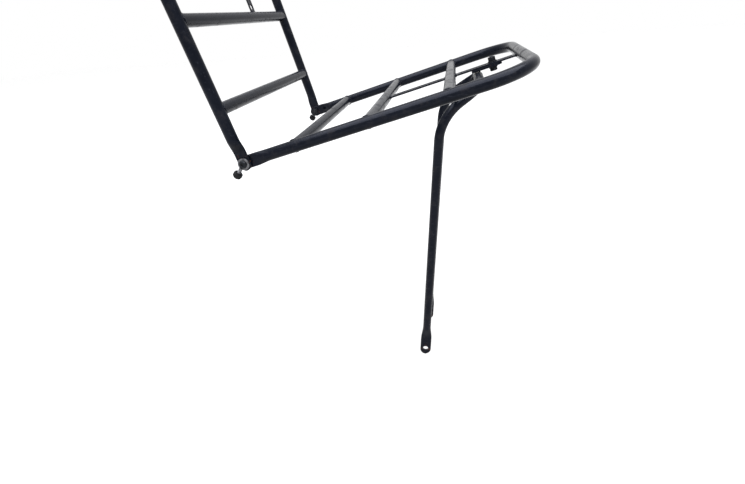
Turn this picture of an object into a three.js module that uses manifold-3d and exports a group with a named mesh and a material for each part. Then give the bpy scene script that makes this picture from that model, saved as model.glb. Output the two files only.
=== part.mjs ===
// Bicycle front carrier: a tubular platform with a folding backrest, carried by a stay from the
// front axle. Millimetres. The origin is the centre of the front axle, +X is forward, +Y is the
// bicycle's left and +Z is up.
import * as THREE from 'three';
import { mergeVertices } from 'three/addons/utils/BufferGeometryUtils.js';
import Module from 'manifold-3d';

const wasm = await Module();
wasm.setup();

// ---------------------------------------------------------------- driving dimensions
const GAP = 0.3; // clearance kept between neighbouring solids
const TUBE_R = 8; // the hoops and their cross tubes are 16 mm outside
const STAY_R = 7; // the stay is a 14 mm tube
const SIDES = 20; // facets round a tube
const BEND_R = 60; // centre-line radius of the corners of both hoops

const CORNER = new THREE.Vector3(-225, 0, 405); // corner bolts, on the centre plane
const PLATFORM_SLOPE = THREE.MathUtils.degToRad(15); // the platform rises forwards
const BACK_LEAN = THREE.MathUtils.degToRad(14); // the backrest leans back from upright

const RAIL_Y = 165; // half the distance between the side rails
const PLATFORM_LENGTH = 381; // corner bolt to the axis of the front bar
const SLAT_PITCH = 103; // slats are spaced back from the front bar

const UPRIGHT_Y = 177; // half the distance between the uprights
const BACK_HEIGHT = 285; // corner bolt to the axis of the top bar
const BACK_BARS = [73, 179]; // axes of the two cross bars, along the upright

const LUG = 4; // thickness of a tube pressed flat
const LUG_SPREAD = 0.12; // a pressed end is trimmed to this much wider than the round tube
const LUG_TIP = 10; // from the corner bolt to the end of each pressed tube
const LUG_REACH = 14; // flat this far from the bolt
const LUG_BLEND = 20; // and round again this much further on
const LUG_JOINT_Y = (RAIL_Y + UPRIGHT_Y) / 2; // where the two pressed ends meet
const RAIL_LUG_Y = LUG_JOINT_Y - (LUG + GAP) / 2;
const UPRIGHT_LUG_Y = LUG_JOINT_Y + (LUG + GAP) / 2;

const STRIP_WIDTH = 16;
const STRIP_THICK = 2.5;
const SLOT_WIDTH = 7;
const SLOT_MARGIN = 8; // from the strip's end to the centre of the slot's round end
const HEAD_STRAP_Y = 50; // the strap stands to the left of the centre plane
const HEAD_STRAP_WIDTH = 14;
const HEAD_STRAP_THICK = 2;
const HEAD_STRAP_HOLE = 8;
const HEAD_STRAP_PITCH = 20;
const HEAD_STRAP_FIRST = 15; // from the upper bar's axis to the lowest hole

const FOOT_Y = 54; // middle plane of the stay's pressed feet, outside the fork ends
const FOOT_TIP = 13; // how far the feet reach below the axle
const FOOT_REACH = 22;
const FOOT_BLEND = 32;
const FOOT_SPREAD = 0.4;
const AXLE_HOLE_R = 5;
const CLAMP_S = 340; // the stay's bolt, measured along the platform
const TAB_THICK = 3;
const TAB_FRONT = 13; // how far the stay's tab reaches in front of its bolt
const TAB_REAR = 31; // and behind it
const TAB_TOP = -STRIP_THICK / 2 - GAP;
const TAB_BOTTOM = TAB_TOP - TAB_THICK;
const CROSSBAR_BACK = 23; // from the bolt back to the axis of the stay's top bar
const CROSSBAR_R = 150; // the top bar is slightly arched

const M6 = 3; // shank radius
const BORE = M6 + GAP;
const M6_FLATS = 10;
const NUT = 5;
const BOLT_HEAD = 4;
const BUTTON_HEAD = 3.2; // the corner bolts' low domed heads
const THREAD_PROUD = 1; // length of thread showing past a nut
const WASHER = 1.6;
const WASHER_R = 6.2;

// ---------------------------------------------------------------- directions and places
const Y_AXIS = new THREE.Vector3(0, 1, 0);
const Z_AXIS = new THREE.Vector3(0, 0, 1);
const ALONG = new THREE.Vector3(Math.cos(PLATFORM_SLOPE), 0, Math.sin(PLATFORM_SLOPE));
const NORMAL = new THREE.Vector3(-Math.sin(PLATFORM_SLOPE), 0, Math.cos(PLATFORM_SLOPE));
const UPRIGHT = new THREE.Vector3(-Math.sin(BACK_LEAN), 0, Math.cos(BACK_LEAN));
const BACK_FRONT = new THREE.Vector3(Math.cos(BACK_LEAN), 0, Math.sin(BACK_LEAN));

/** A point given along the platform, across it and above its middle plane. */
function onPlatform(s, y, h = 0) {
  return CORNER.clone().addScaledVector(ALONG, s).addScaledVector(NORMAL, h).setY(y);
}

/** A point given up the backrest, across it and in front of its middle plane. */
function onBackrest(v, y, d = 0) {
  return CORNER.clone().addScaledVector(UPRIGHT, v).addScaledVector(BACK_FRONT, d).setY(y);
}

/** The turn that lays local X, Y, Z along the platform, across it and square to it. */
function turnToPlatform() {
  return new THREE.Matrix4().makeBasis(ALONG, Y_AXIS, NORMAL);
}

// ---------------------------------------------------------------- materials
function metal(color, roughness, metalness) {
  return new THREE.MeshStandardMaterial({ color, roughness, metalness });
}
const paint = () => metal(0x24262b, 0.34, 0.25);
const zinc = () => metal(0xa9abae, 0.38, 0.9);
const blackZinc = () => metal(0x1d1e21, 0.45, 0.6);
const blackPlastic = () => metal(0x121314, 0.55, 0);

// ---------------------------------------------------------------- solid helpers
function toManifold(geometry) {
  const plain = geometry.clone();
  plain.deleteAttribute('normal');
  plain.deleteAttribute('uv');
  const merged = mergeVertices(plain, 1e-4);
  return new wasm.Manifold(new wasm.Mesh({
    numProp: 3,
    vertProperties: new Float32Array(merged.attributes.position.array),
    triVerts: new Uint32Array(merged.index.array),
  }));
}

function toGeometry(solid) {
  const { vertProperties, triVerts } = solid.getMesh();
  const geometry = new THREE.BufferGeometry();
  geometry.setAttribute('position', new THREE.BufferAttribute(vertProperties, 3));
  geometry.setIndex(new THREE.BufferAttribute(triVerts, 1));
  geometry.computeVertexNormals();
  return geometry;
}

function cut(geometry, ...tools) {
  let solid = toManifold(geometry);
  for (const tool of tools) solid = solid.subtract(toManifold(tool));
  return toGeometry(solid);
}

/** A round bar with its axis from one point to another. */
function bar(from, to, radius, sides = SIDES) {
  const axis = to.clone().sub(from);
  const geometry = new THREE.CylinderGeometry(radius, radius, axis.length(), sides);
  const turn = new THREE.Quaternion().setFromUnitVectors(Y_AXIS, axis.normalize());
  geometry.applyQuaternion(turn);
  const middle = from.clone().add(to).multiplyScalar(0.5);
  return geometry.translate(middle.x, middle.y, middle.z);
}

/** A round bar centred on a point, as a drill or a short pin. */
function pin(centre, direction, length, radius, sides = SIDES) {
  const half = direction.clone().normalize().multiplyScalar(length / 2);
  return bar(centre.clone().sub(half), centre.clone().add(half), radius, sides);
}

// ---------------------------------------------------------------- bent tubes
/** A path of straight runs joined by arcs. Stations are where the tube has a ring of points. */
class BentPath extends THREE.Curve {
  constructor(corners, marks = []) {
    super();
    this.points = [];
    this.tangents = [];
    const last = corners.length - 1;
    const first = corners[0].at;
    const start = corners[1].at.clone().sub(first).normalize();
    const finish = corners[last].at.clone().sub(corners[last - 1].at).normalize();
    this.station(first, start);
    for (const mark of marks) this.station(first.clone().addScaledVector(start, mark), start);
    for (let i = 1; i < last; i += 1) this.bend(corners[i - 1].at, corners[i], corners[i + 1].at);
    for (const mark of [...marks].reverse()) {
      this.station(corners[last].at.clone().addScaledVector(finish, -mark), finish);
    }
    this.station(corners[last].at, finish);
  }

  station(point, tangent) {
    this.points.push(point.clone());
    this.tangents.push(tangent.clone());
  }

  bend(before, { at, radius, steps = 8 }, after) {
    const into = at.clone().sub(before).normalize();
    const out = after.clone().sub(at).normalize();
    const angle = into.angleTo(out);
    const inward = out.clone().addScaledVector(into, -Math.cos(angle)).divideScalar(Math.sin(angle));
    const start = at.clone().addScaledVector(into, -radius * Math.tan(angle / 2));
    for (let i = 0; i <= steps; i += 1) {
      const turn = (angle * i) / steps;
      const point = start.clone()
        .addScaledVector(into, radius * Math.sin(turn))
        .addScaledVector(inward, radius * (1 - Math.cos(turn)));
      const tangent = into.clone().multiplyScalar(Math.cos(turn));
      this.station(point, tangent.addScaledVector(inward, Math.sin(turn)));
    }
  }

  get steps() {
    return this.points.length - 1;
  }

  getPoint(t) {
    return this.points[Math.round(t * this.steps)].clone();
  }

  getPointAt(t) {
    return this.getPoint(t);
  }

  getTangent(t) {
    return this.tangents[Math.round(t * this.steps)].clone();
  }

  getTangentAt(t) {
    return this.getTangent(t);
  }
}

function circle(radius, sides = SIDES) {
  const shape = new THREE.Shape();
  for (let i = 0; i < sides; i += 1) {
    const angle = (2 * Math.PI * (i + 0.5)) / sides;
    const x = radius * Math.cos(angle);
    const y = radius * Math.sin(angle);
    if (i === 0) shape.moveTo(x, y);
    else shape.lineTo(x, y);
  }
  shape.closePath();
  return shape;
}

/** A tube with its middle line along a path. */
function tube(path, radius) {
  return new THREE.ExtrudeGeometry(circle(radius), {
    steps: path.steps,
    extrudePath: path,
    bevelEnabled: false,
  });
}

/** Distances from a tube's end that need a ring of points where the end is pressed and rounded. */
function endMarks({ radius, tip, reach, blend, spread }) {
  const quarter = [1, 2, 3, 4].map((i) => (Math.PI / 2) * (i / 4));
  const rounding = quarter.map((angle) => radius * (1 + spread) * (1 - Math.cos(angle)));
  const fade = [0, 1, 2, 3, 4, 5].map((i) => tip + reach + (blend * i) / 5);
  return [...rounding, ...fade];
}

/**
 * Presses a tube's end flat between two planes that are square to Y. The centre is the middle of
 * the hole, the tip is the distance from there to the tube's end, which is rounded in outline, and
 * the tube comes back to round over the blend.
 */
function press(geometry, centre, along, { radius, tip, reach, blend, spread }) {
  const wide = along.clone().cross(Y_AXIS).normalize();
  const nearby = 3 * radius;
  const full = radius * (1 + spread);
  const bluntEnd = 0.35;
  const position = geometry.attributes.position;
  const point = new THREE.Vector3();
  for (let i = 0; i < position.count; i += 1) {
    point.fromBufferAttribute(position, i).sub(centre);
    const a = point.dot(along);
    const t = point.dot(Y_AXIS);
    const w = point.dot(wide);
    if (Math.abs(t) > nearby || Math.abs(w) > nearby) continue;
    const amount = 1 - THREE.MathUtils.smoothstep(Math.abs(a), reach, reach + blend);
    const flat = THREE.MathUtils.clamp(t, -LUG / 2, LUG / 2);
    const left = THREE.MathUtils.clamp(1 - (a + tip) / full, 0, 1);
    const outline = Math.max(bluntEnd, Math.sqrt(1 - left * left));
    point.copy(centre)
      .addScaledVector(along, a)
      .addScaledVector(Y_AXIS, THREE.MathUtils.lerp(t, flat, amount))
      .addScaledVector(wide, w * (1 + spread * amount) * outline);
    position.setXYZ(i, point.x, point.y, point.z);
  }
}

// ---------------------------------------------------------------- scene graph
const carrier = new THREE.Group();
carrier.name = 'front_carrier';

function add(name, geometry, material) {
  const mesh = new THREE.Mesh(geometry, material);
  mesh.name = name;
  carrier.add(mesh);
  return mesh;
}

/**
 * A hoop with two corners and two pressed and drilled ends. The pointAt function gives a point
 * from the distance along the sides and the distance across.
 */
function hoop(pointAt, along, halfWidth, length, lugY) {
  const corners = [
    { at: pointAt(-LUG_TIP, -halfWidth) },
    { at: pointAt(length, -halfWidth), radius: BEND_R },
    { at: pointAt(length, halfWidth), radius: BEND_R },
    { at: pointAt(-LUG_TIP, halfWidth) },
  ];
  const lug = {
    radius: TUBE_R, tip: LUG_TIP, reach: LUG_REACH, blend: LUG_BLEND, spread: LUG_SPREAD,
  };
  const geometry = tube(new BentPath(corners, endMarks(lug)), TUBE_R);
  const holes = [];
  for (const side of [-1, 1]) {
    const centre = pointAt(0, side * lugY);
    press(geometry, centre, along, lug);
    holes.push(pin(centre, Y_AXIS, 4 * LUG, BORE));
  }
  return cut(geometry, ...holes);
}

/** A round bar between two parallel tubes, with its ends coped to fit them. */
function copedBar(left, right, along) {
  const cope = { length: 8 * TUBE_R, radius: TUBE_R + GAP, sides: 2 * SIDES };
  const tubes = [left, right].map((at) => pin(at, along, cope.length, cope.radius, cope.sides));
  return cut(bar(left, right, TUBE_R), ...tubes);
}

// ---------------------------------------------------------------- platform
add('platform_hoop', hoop(onPlatform, ALONG, RAIL_Y, PLATFORM_LENGTH, RAIL_LUG_Y), paint());

/** Where a slat lies along the platform, counted back from the front bar. */
function slatS(count) {
  return PLATFORM_LENGTH - count * SLAT_PITCH;
}

for (const [name, count] of [['slat_front', 1], ['slat_middle', 2], ['slat_rear', 3]]) {
  const s = slatS(count);
  add(name, copedBar(onPlatform(s, RAIL_Y), onPlatform(s, -RAIL_Y), ALONG), paint());
}

/** An outline in the platform's plane given a thickness, with its underside through a point. */
function plate(shape, thickness, at) {
  const geometry = new THREE.ExtrudeGeometry(shape, {
    depth: thickness,
    bevelEnabled: false,
    curveSegments: 8,
  });
  geometry.applyMatrix4(turnToPlatform());
  return geometry.translate(at.x, at.y, at.z);
}

/** A flat strip between two tubes of the platform, with a long slot for a bolt. */
function slottedStrip(from, to) {
  const start = from + TUBE_R + GAP;
  const end = to - TUBE_R - GAP;
  const half = (end - start) / 2;
  const shape = new THREE.Shape();
  shape.moveTo(-half, -STRIP_WIDTH / 2);
  shape.lineTo(half, -STRIP_WIDTH / 2);
  shape.lineTo(half, STRIP_WIDTH / 2);
  shape.lineTo(-half, STRIP_WIDTH / 2);
  shape.closePath();
  const slotEnd = half - SLOT_MARGIN;
  const slot = new THREE.Path();
  slot.absarc(slotEnd, 0, SLOT_WIDTH / 2, -Math.PI / 2, Math.PI / 2, false);
  slot.absarc(-slotEnd, 0, SLOT_WIDTH / 2, Math.PI / 2, (3 * Math.PI) / 2, false);
  slot.closePath();
  shape.holes.push(slot);
  const middle = onPlatform((start + end) / 2, 0, -STRIP_THICK / 2);
  return plate(shape, STRIP_THICK, middle);
}
add('centre_strip_rear', slottedStrip(slatS(2), slatS(1)), paint());
add('centre_strip_front', slottedStrip(slatS(1), PLATFORM_LENGTH), paint());

// ---------------------------------------------------------------- backrest
add('backrest_hoop', hoop(onBackrest, UPRIGHT, UPRIGHT_Y, BACK_HEIGHT, UPRIGHT_LUG_Y), paint());

const [LOWER_BAR, UPPER_BAR] = BACK_BARS;
for (const [name, v] of [['backrest_bar_lower', LOWER_BAR], ['backrest_bar_upper', UPPER_BAR]]) {
  add(name, copedBar(onBackrest(v, UPRIGHT_Y), onBackrest(v, -UPRIGHT_Y), UPRIGHT), paint());
}

/** The flat strap from the upper bar to the top bar, with a row of holes for the stem bracket. */
function headStrap() {
  const start = UPPER_BAR + TUBE_R + GAP;
  const end = BACK_HEIGHT - TUBE_R - GAP;
  const geometry = new THREE.BoxGeometry(HEAD_STRAP_THICK, HEAD_STRAP_WIDTH, end - start);
  geometry.applyMatrix4(new THREE.Matrix4().makeBasis(BACK_FRONT, Y_AXIS, UPRIGHT));
  const middle = onBackrest((start + end) / 2, HEAD_STRAP_Y);
  geometry.translate(middle.x, middle.y, middle.z);
  const holes = [];
  const last = end - HEAD_STRAP_HOLE;
  for (let v = UPPER_BAR + HEAD_STRAP_FIRST; v < last; v += HEAD_STRAP_PITCH) {
    const at = onBackrest(v, HEAD_STRAP_Y);
    holes.push(pin(at, BACK_FRONT, 4 * HEAD_STRAP_THICK, HEAD_STRAP_HOLE / 2));
  }
  return cut(geometry, ...holes);
}
add('head_strap', headStrap(), paint());

// ---------------------------------------------------------------- stay
/** One bent tube: up from the axle, forwards over the wheel and across under the platform. */
function stayHoop() {
  const foot = (side) => new THREE.Vector3(0, side * FOOT_Y, 0);
  const knee = (side) => onPlatform(254, side * 75, -39);
  const shoulder = (side) => onPlatform(316, side * 56, -18);
  const crossbar = onPlatform(CLAMP_S - CROSSBAR_BACK, 0, TAB_BOTTOM - GAP - STAY_R);
  const footEnd = (side) => {
    const down = foot(side).sub(knee(side)).normalize();
    return foot(side).addScaledVector(down, FOOT_TIP);
  };
  const corners = [
    { at: footEnd(-1) },
    { at: knee(-1), radius: 64 },
    { at: shoulder(-1), radius: 30 },
    { at: crossbar, radius: CROSSBAR_R, steps: 4 },
    { at: shoulder(1), radius: 30 },
    { at: knee(1), radius: 64 },
    { at: footEnd(1) },
  ];
  const lug = {
    radius: STAY_R, tip: FOOT_TIP, reach: FOOT_REACH, blend: FOOT_BLEND, spread: FOOT_SPREAD,
  };
  const geometry = tube(new BentPath(corners, endMarks(lug)), STAY_R);
  const holes = [];
  for (const side of [-1, 1]) {
    press(geometry, foot(side), Z_AXIS, lug);
    holes.push(pin(foot(side), Y_AXIS, 4 * LUG, AXLE_HOLE_R));
  }
  return cut(geometry, ...holes);
}
add('stay_hoop', stayHoop(), paint());

/** The tab on the stay's top bar, bolted up against the slotted strip. */
function stayTab() {
  const half = STRIP_WIDTH / 2;
  const shape = new THREE.Shape();
  shape.moveTo(-TAB_REAR, -half);
  shape.lineTo(TAB_FRONT - half, -half);
  shape.absarc(TAB_FRONT - half, 0, half, -Math.PI / 2, Math.PI / 2, false);
  shape.lineTo(-TAB_REAR, half);
  shape.closePath();
  const hole = pin(onPlatform(CLAMP_S, 0, TAB_TOP), NORMAL, 4 * TAB_THICK, BORE);
  return cut(plate(shape, TAB_THICK, onPlatform(CLAMP_S, 0, TAB_BOTTOM)), hole);
}
add('stay_tab', stayTab(), paint());

// ---------------------------------------------------------------- fasteners
/** A profile given as [radius, height] pairs, turned about local Z. */
function turned(profile) {
  const points = profile.map(([radius, height]) => new THREE.Vector2(radius, height));
  return new THREE.LatheGeometry(points, SIDES).rotateX(Math.PI / 2);
}

function washer() {
  return turned([[BORE, 0], [WASHER_R, 0], [WASHER_R, WASHER], [BORE, WASHER], [BORE, 0]]);
}

function hexagon(height) {
  const acrossCorners = (2 * M6_FLATS) / Math.sqrt(3);
  const geometry = new THREE.CylinderGeometry(acrossCorners / 2, acrossCorners / 2, height, 6);
  return geometry.rotateX(Math.PI / 2).translate(0, 0, height / 2);
}

/** Moves a piece made along local Z so that it starts at a point and runs in a direction. */
function place(geometry, start, direction) {
  geometry.applyQuaternion(new THREE.Quaternion().setFromUnitVectors(Z_AXIS, direction));
  return geometry.translate(start.x, start.y, start.z);
}

function hexNut() {
  return cut(hexagon(NUT), pin(new THREE.Vector3(), Z_AXIS, 4 * NUT, BORE));
}

/** A hexagon-headed bolt whose head starts at zero and whose shank runs on along local Z. */
function hexBolt(length) {
  const shank = pin(new THREE.Vector3(0, 0, (BOLT_HEAD + length) / 2), Z_AXIS, length, M6);
  const overlap = 1; // the shank is joined this far inside the head
  shank.translate(0, 0, BOLT_HEAD / 2 - overlap / 2);
  return toGeometry(toManifold(hexagon(BOLT_HEAD)).add(toManifold(shank)));
}

/** A low domed head with its shank, turned about local Z. */
function buttonBolt(length) {
  const head = { radius: 5.6, height: BUTTON_HEAD, flatTop: 2.5, rim: 0.6 };
  const domeSteps = 4;
  const dome = [];
  for (let i = 0; i <= domeSteps; i += 1) {
    const angle = (Math.PI / 2) * (i / domeSteps);
    dome.push([
      head.flatTop + (head.radius - head.flatTop) * Math.sin(angle),
      (head.height - head.rim) * (1 - Math.cos(angle)),
    ]);
  }
  const end = head.height + length;
  return turned([[0, 0], ...dome, [head.radius, head.height], [M6, head.height], [M6, end], [0, end]]);
}

// The stay's clamp, from the bolt head below the tab to the nut above the strip.
const atClamp = (h) => onPlatform(CLAMP_S, 0, h);
const lowerWasher = TAB_BOTTOM - GAP - WASHER;
const headStart = lowerWasher - GAP - BOLT_HEAD;
const upperWasher = STRIP_THICK / 2 + GAP;
const nutStart = upperWasher + WASHER + GAP;
const clampLength = nutStart + NUT + THREAD_PROUD - headStart - BOLT_HEAD;
add('clamp_bolt', place(hexBolt(clampLength), atClamp(headStart), NORMAL), blackZinc());
add('clamp_washer_lower', place(washer(), atClamp(lowerWasher), NORMAL), blackZinc());
add('clamp_washer_upper', place(washer(), atClamp(upperWasher), NORMAL), blackZinc());
add('clamp_nut', place(hexNut(), atClamp(nutStart), NORMAL), blackZinc());

// The corner bolts go in from the outside. A lashing stud hangs by its eye under each head.
const STUD_EYE = 3; // thickness of the eye
const STUD_EYE_R = 8;
const STUD_R = 2.5;
const STUD_TILT = THREE.MathUtils.degToRad(37); // below the line of the rails
const STUD_REACH = 14; // from the bolt's axis to the knob
const KNOB_R = 6.2;
const KNOB_HEIGHT = 10;
const KNOB_TOP = 2; // thickness of plastic over the end of the stud
const STUD_DIRECTION = ALONG.clone().multiplyScalar(-Math.cos(STUD_TILT))
  .addScaledVector(NORMAL, -Math.sin(STUD_TILT));

/** An eye on the corner bolt with a round shank, set outwards so that it clears the upright. */
function lashingStud(centre, shankCentre) {
  const eye = toManifold(pin(centre, Y_AXIS, STUD_EYE, STUD_EYE_R));
  const start = WASHER_R + 2 * GAP;
  const end = STUD_REACH + KNOB_HEIGHT - KNOB_TOP - 1;
  const from = shankCentre.clone().addScaledVector(STUD_DIRECTION, start);
  const to = shankCentre.clone().addScaledVector(STUD_DIRECTION, end);
  const solid = eye.add(toManifold(bar(from, to, STUD_R)));
  return toGeometry(solid.subtract(toManifold(pin(centre, Y_AXIS, 4 * STUD_EYE, BORE))));
}

/** A domed plastic knob about local Z, bored from below for the end of the stud. */
function knob() {
  const bore = STUD_R + GAP;
  const side = 0.55 * KNOB_HEIGHT;
  const roof = KNOB_HEIGHT - KNOB_TOP;
  const domeSteps = 4;
  const dome = [];
  for (let i = 1; i < domeSteps; i += 1) {
    const angle = (Math.PI / 2) * (i / domeSteps);
    dome.push([KNOB_R * Math.cos(angle), side + (KNOB_HEIGHT - side) * Math.sin(angle)]);
  }
  const outside = [[bore, 0], [KNOB_R - 1, 0], [KNOB_R, 1], [KNOB_R, side], ...dome, [0, KNOB_HEIGHT]];
  return turned([...outside, [0, roof], [bore, roof], [bore, 0]]);
}

for (const [label, side] of [['left', 1], ['right', -1]]) {
  const inward = new THREE.Vector3(0, -side, 0);
  const at = (y) => onPlatform(0, side * y);
  const eyeMiddle = UPRIGHT_LUG_Y + LUG / 2 + GAP + STUD_EYE / 2;
  const headOutside = eyeMiddle + STUD_EYE / 2 + GAP + BUTTON_HEAD;
  const washerOutside = RAIL_LUG_Y - LUG / 2 - GAP;
  const nutOutside = washerOutside - WASHER - GAP;
  const shank = headOutside - BUTTON_HEAD - (nutOutside - NUT - THREAD_PROUD);
  add(`corner_bolt_${label}`, place(buttonBolt(shank), at(headOutside), inward), blackZinc());
  add(`corner_washer_${label}`, place(washer(), at(washerOutside), inward), blackZinc());
  add(`corner_nut_${label}`, place(hexNut(), at(nutOutside), inward), blackZinc());
  const shankCentre = at(eyeMiddle - STUD_EYE / 2 + STUD_R);
  add(`lashing_stud_${label}`, lashingStud(at(eyeMiddle), shankCentre), zinc());
  const knobStart = shankCentre.clone().addScaledVector(STUD_DIRECTION, STUD_REACH);
  add(`lashing_knob_${label}`, place(knob(), knobStart, STUD_DIRECTION), blackPlastic());
}

export default carrier;
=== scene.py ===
"""The looks of the front carrier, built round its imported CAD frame.

Lengths are in metres, in the frame's own axes: the origin is the centre of the front axle, +X is
forward, +Y is the bicycle's left and +Z is up.
"""

import math
import random

import bmesh
import bpy
from mathutils import Matrix, Vector


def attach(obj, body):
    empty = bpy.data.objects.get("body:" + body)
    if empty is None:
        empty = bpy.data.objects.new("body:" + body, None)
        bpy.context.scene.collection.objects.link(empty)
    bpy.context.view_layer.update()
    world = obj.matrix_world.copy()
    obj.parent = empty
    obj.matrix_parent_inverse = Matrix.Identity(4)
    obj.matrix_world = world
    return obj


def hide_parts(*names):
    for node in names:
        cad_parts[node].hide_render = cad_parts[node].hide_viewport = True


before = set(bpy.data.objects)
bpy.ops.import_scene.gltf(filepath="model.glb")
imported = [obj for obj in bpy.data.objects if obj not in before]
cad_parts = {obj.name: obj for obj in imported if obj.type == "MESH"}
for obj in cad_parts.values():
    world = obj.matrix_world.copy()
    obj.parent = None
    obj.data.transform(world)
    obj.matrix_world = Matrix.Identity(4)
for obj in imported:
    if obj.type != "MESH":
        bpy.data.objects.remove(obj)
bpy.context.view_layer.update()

# ---------------------------------------------------------------- dimensions
MM = 0.001
GAP = 0.3 * MM  # between pieces that are bolted together
TUBE_R = 8 * MM
STAY_R = 7 * MM
BEND_R = 60 * MM

# The corner bolts' axis is where the platform's middle plane meets the backrest's.
CORNER = Vector((-225, 0, 405)) * MM
PLATFORM_SLOPE = math.radians(15)
BACK_LEAN = math.radians(14)

RAIL_Y = 165 * MM
PLATFORM_LENGTH = 381 * MM
SLAT_PITCH = 103 * MM
UPRIGHT_Y = 177 * MM
BACK_HEIGHT = 285 * MM
LOWER_BAR = 73 * MM
UPPER_BAR = 179 * MM

# The pressed ends. Each runs a tip past its hole, is flat for a reach behind the hole, turns
# round again over a blend, and is a share of its width wider than the tube, its spread.
LUG = 4 * MM
LUG_SHAPE = {"radius": TUBE_R, "tip": 10 * MM, "reach": 14 * MM, "blend": 20 * MM, "spread": 0.12}
FOOT_SHAPE = {"radius": STAY_R, "tip": 13 * MM, "reach": 22 * MM, "blend": 32 * MM, "spread": 0.4}
TIP_RINGS = 18
BLEND_RINGS = 20
TIP_LEAST = 0.10  # the width left at the very tip, as a share
LUG_JOINT_Y = (RAIL_Y + UPRIGHT_Y) / 2
RAIL_LUG_Y = LUG_JOINT_Y - (LUG + GAP) / 2
UPRIGHT_LUG_Y = LUG_JOINT_Y + (LUG + GAP) / 2

PLATE_EDGE = 0.35 * MM
PLATE_SINK = 1.2 * MM  # how far a welded plate's end runs into its tube
STRIP_WIDTH = 16 * MM
STRIP_THICK = 2.5 * MM
SLOT_WIDTH = 7 * MM
SLOT_MARGIN = 8 * MM
HEAD_STRAP_Y = 50 * MM
HEAD_STRAP_WIDTH = 14 * MM
HEAD_STRAP_THICK = 2 * MM
HEAD_STRAP_HOLE = 8 * MM
HEAD_STRAP_PITCH = 20 * MM
HEAD_STRAP_FIRST = 15 * MM

# The stay's bends are placed along the platform, across it and above its middle plane.
FOOT_Y = 54 * MM
AXLE_HOLE_R = 5 * MM
KNEE_S, KNEE_Y, KNEE_H = 254 * MM, 75 * MM, -39 * MM
KNEE_BEND_R = 64 * MM
SHOULDER_S, SHOULDER_Y, SHOULDER_H = 316 * MM, 56 * MM, -18 * MM
SHOULDER_BEND_R = 30 * MM
CROWN_BEND_R = 150 * MM
CLAMP_S = 340 * MM
TAB_THICK = 3 * MM
TAB_FRONT = 13 * MM
TAB_REAR = 31 * MM
TAB_TOP = -STRIP_THICK / 2 - GAP
TAB_BOTTOM = TAB_TOP - TAB_THICK
CROSSBAR_S = CLAMP_S - 23 * MM
CROSSBAR_H = TAB_BOTTOM - GAP - STAY_R

# M6 fasteners. Their radii and heights, and the radius of the holes that they go through.
M6 = 3 * MM
BORE = M6 + GAP
M6_FLATS = 10 * MM
M6_PITCH = 1 * MM
MID_EASE = 0.3  # where the middle of an eased edge lies, as a share of the ease
CHAMFER_CIRCLE = 0.475 * M6_FLATS
CHAMFER_ANGLE = math.radians(30)
THREAD_LENGTH = 9 * MM
THREAD_DEPTH = 0.55 * MM
THREAD_TIP = 0.7 * MM
RINGS_PER_TURN = 8
NUT = 5 * MM
BOLT_HEAD = 4 * MM
BUTTON_HEAD = 3.2 * MM
BUTTON_R = 5.6 * MM
SOCKET_FLATS = 4 * MM
THREAD_PROUD = 1 * MM
WASHER = 1.6 * MM
WASHER_R = 6.2 * MM

STUD_EYE = 3 * MM
STUD_EYE_R = 8 * MM
STUD_R = 2.5 * MM
STUD_TILT = math.radians(37)
STUD_REACH = 14 * MM
STUD_PITCH = 0.8 * MM
STUD_GROOVE = 0.3 * MM
KNOB_R = 6.2 * MM
KNOB_HEIGHT = 10 * MM
KNOB_FLUTES = 8
KNOB_FLUTE = 0.7 * MM

# How far the coped ends and their welds follow the tube that they meet, as shares of its radius.
COPE_FOLLOW = 0.985
SADDLE_FOLLOW = 0.97

# Weld beads. Their size ripples and wanders by a share of it, and tapers to an end.
BAR_BEAD_R = 1.15 * MM
STRIP_BEAD_R = 1.1 * MM
BEAD_RIPPLE = 0.10
BEAD_RIPPLE_LENGTH = 1.8 * MM
BEAD_WANDER = 0.10
BEAD_WANDER_LENGTH = 6.0 * MM
BEAD_TAPER = 0.12
BEAD_END = 0.2
WELD_GAP = 0.1 * MM
TAB_WELD_APART = 3.4 * MM
TAB_WELD_DROP = 0.6 * MM
SEED_STEP = 10

# How finely the pieces are divided.
BENT_SIDES = 96
BAR_SIDES = 48
BAR_RINGS = 24
DRILL_SIDES = 64
TURNED_SIDES = 96
DOME_STEPS = 12
SHANK_SIDES = 32
SHANK_STEPS = 90
BEAD_SIDES = 12
MERGE = 1e-7  # points closer than this become one
PLATE_MERGE = 2e-6

# The angles, in degrees, from which an edge is shaded as a sharp one.
BENT_SHARP = 60
PLAIN_SHARP = 40
KNOB_SHARP = 30
FASTENER_SHARP = 25

# ---------------------------------------------------------------- directions and places
Y_AXIS = Vector((0, 1, 0))
Z_AXIS = Vector((0, 0, 1))
ALONG = Vector((math.cos(PLATFORM_SLOPE), 0, math.sin(PLATFORM_SLOPE)))
NORMAL = Vector((-math.sin(PLATFORM_SLOPE), 0, math.cos(PLATFORM_SLOPE)))
UPRIGHT = Vector((-math.sin(BACK_LEAN), 0, math.cos(BACK_LEAN)))
BACK_FRONT = Vector((math.cos(BACK_LEAN), 0, math.sin(BACK_LEAN)))
STUD_DIRECTION = -ALONG * math.cos(STUD_TILT) - NORMAL * math.sin(STUD_TILT)


def on_platform(s, y, h=0.0):
    """A point along the platform, across it and above its middle plane."""
    return CORNER + ALONG * s + NORMAL * h + Y_AXIS * y


def on_backrest(v, y, d=0.0):
    """A point up the backrest, across it and in front of its middle plane."""
    return CORNER + UPRIGHT * v + BACK_FRONT * d + Y_AXIS * y


def slat_s(count):
    """Where a slat lies along the platform, counted back from the front bar."""
    return PLATFORM_LENGTH - count * SLAT_PITCH


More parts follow.
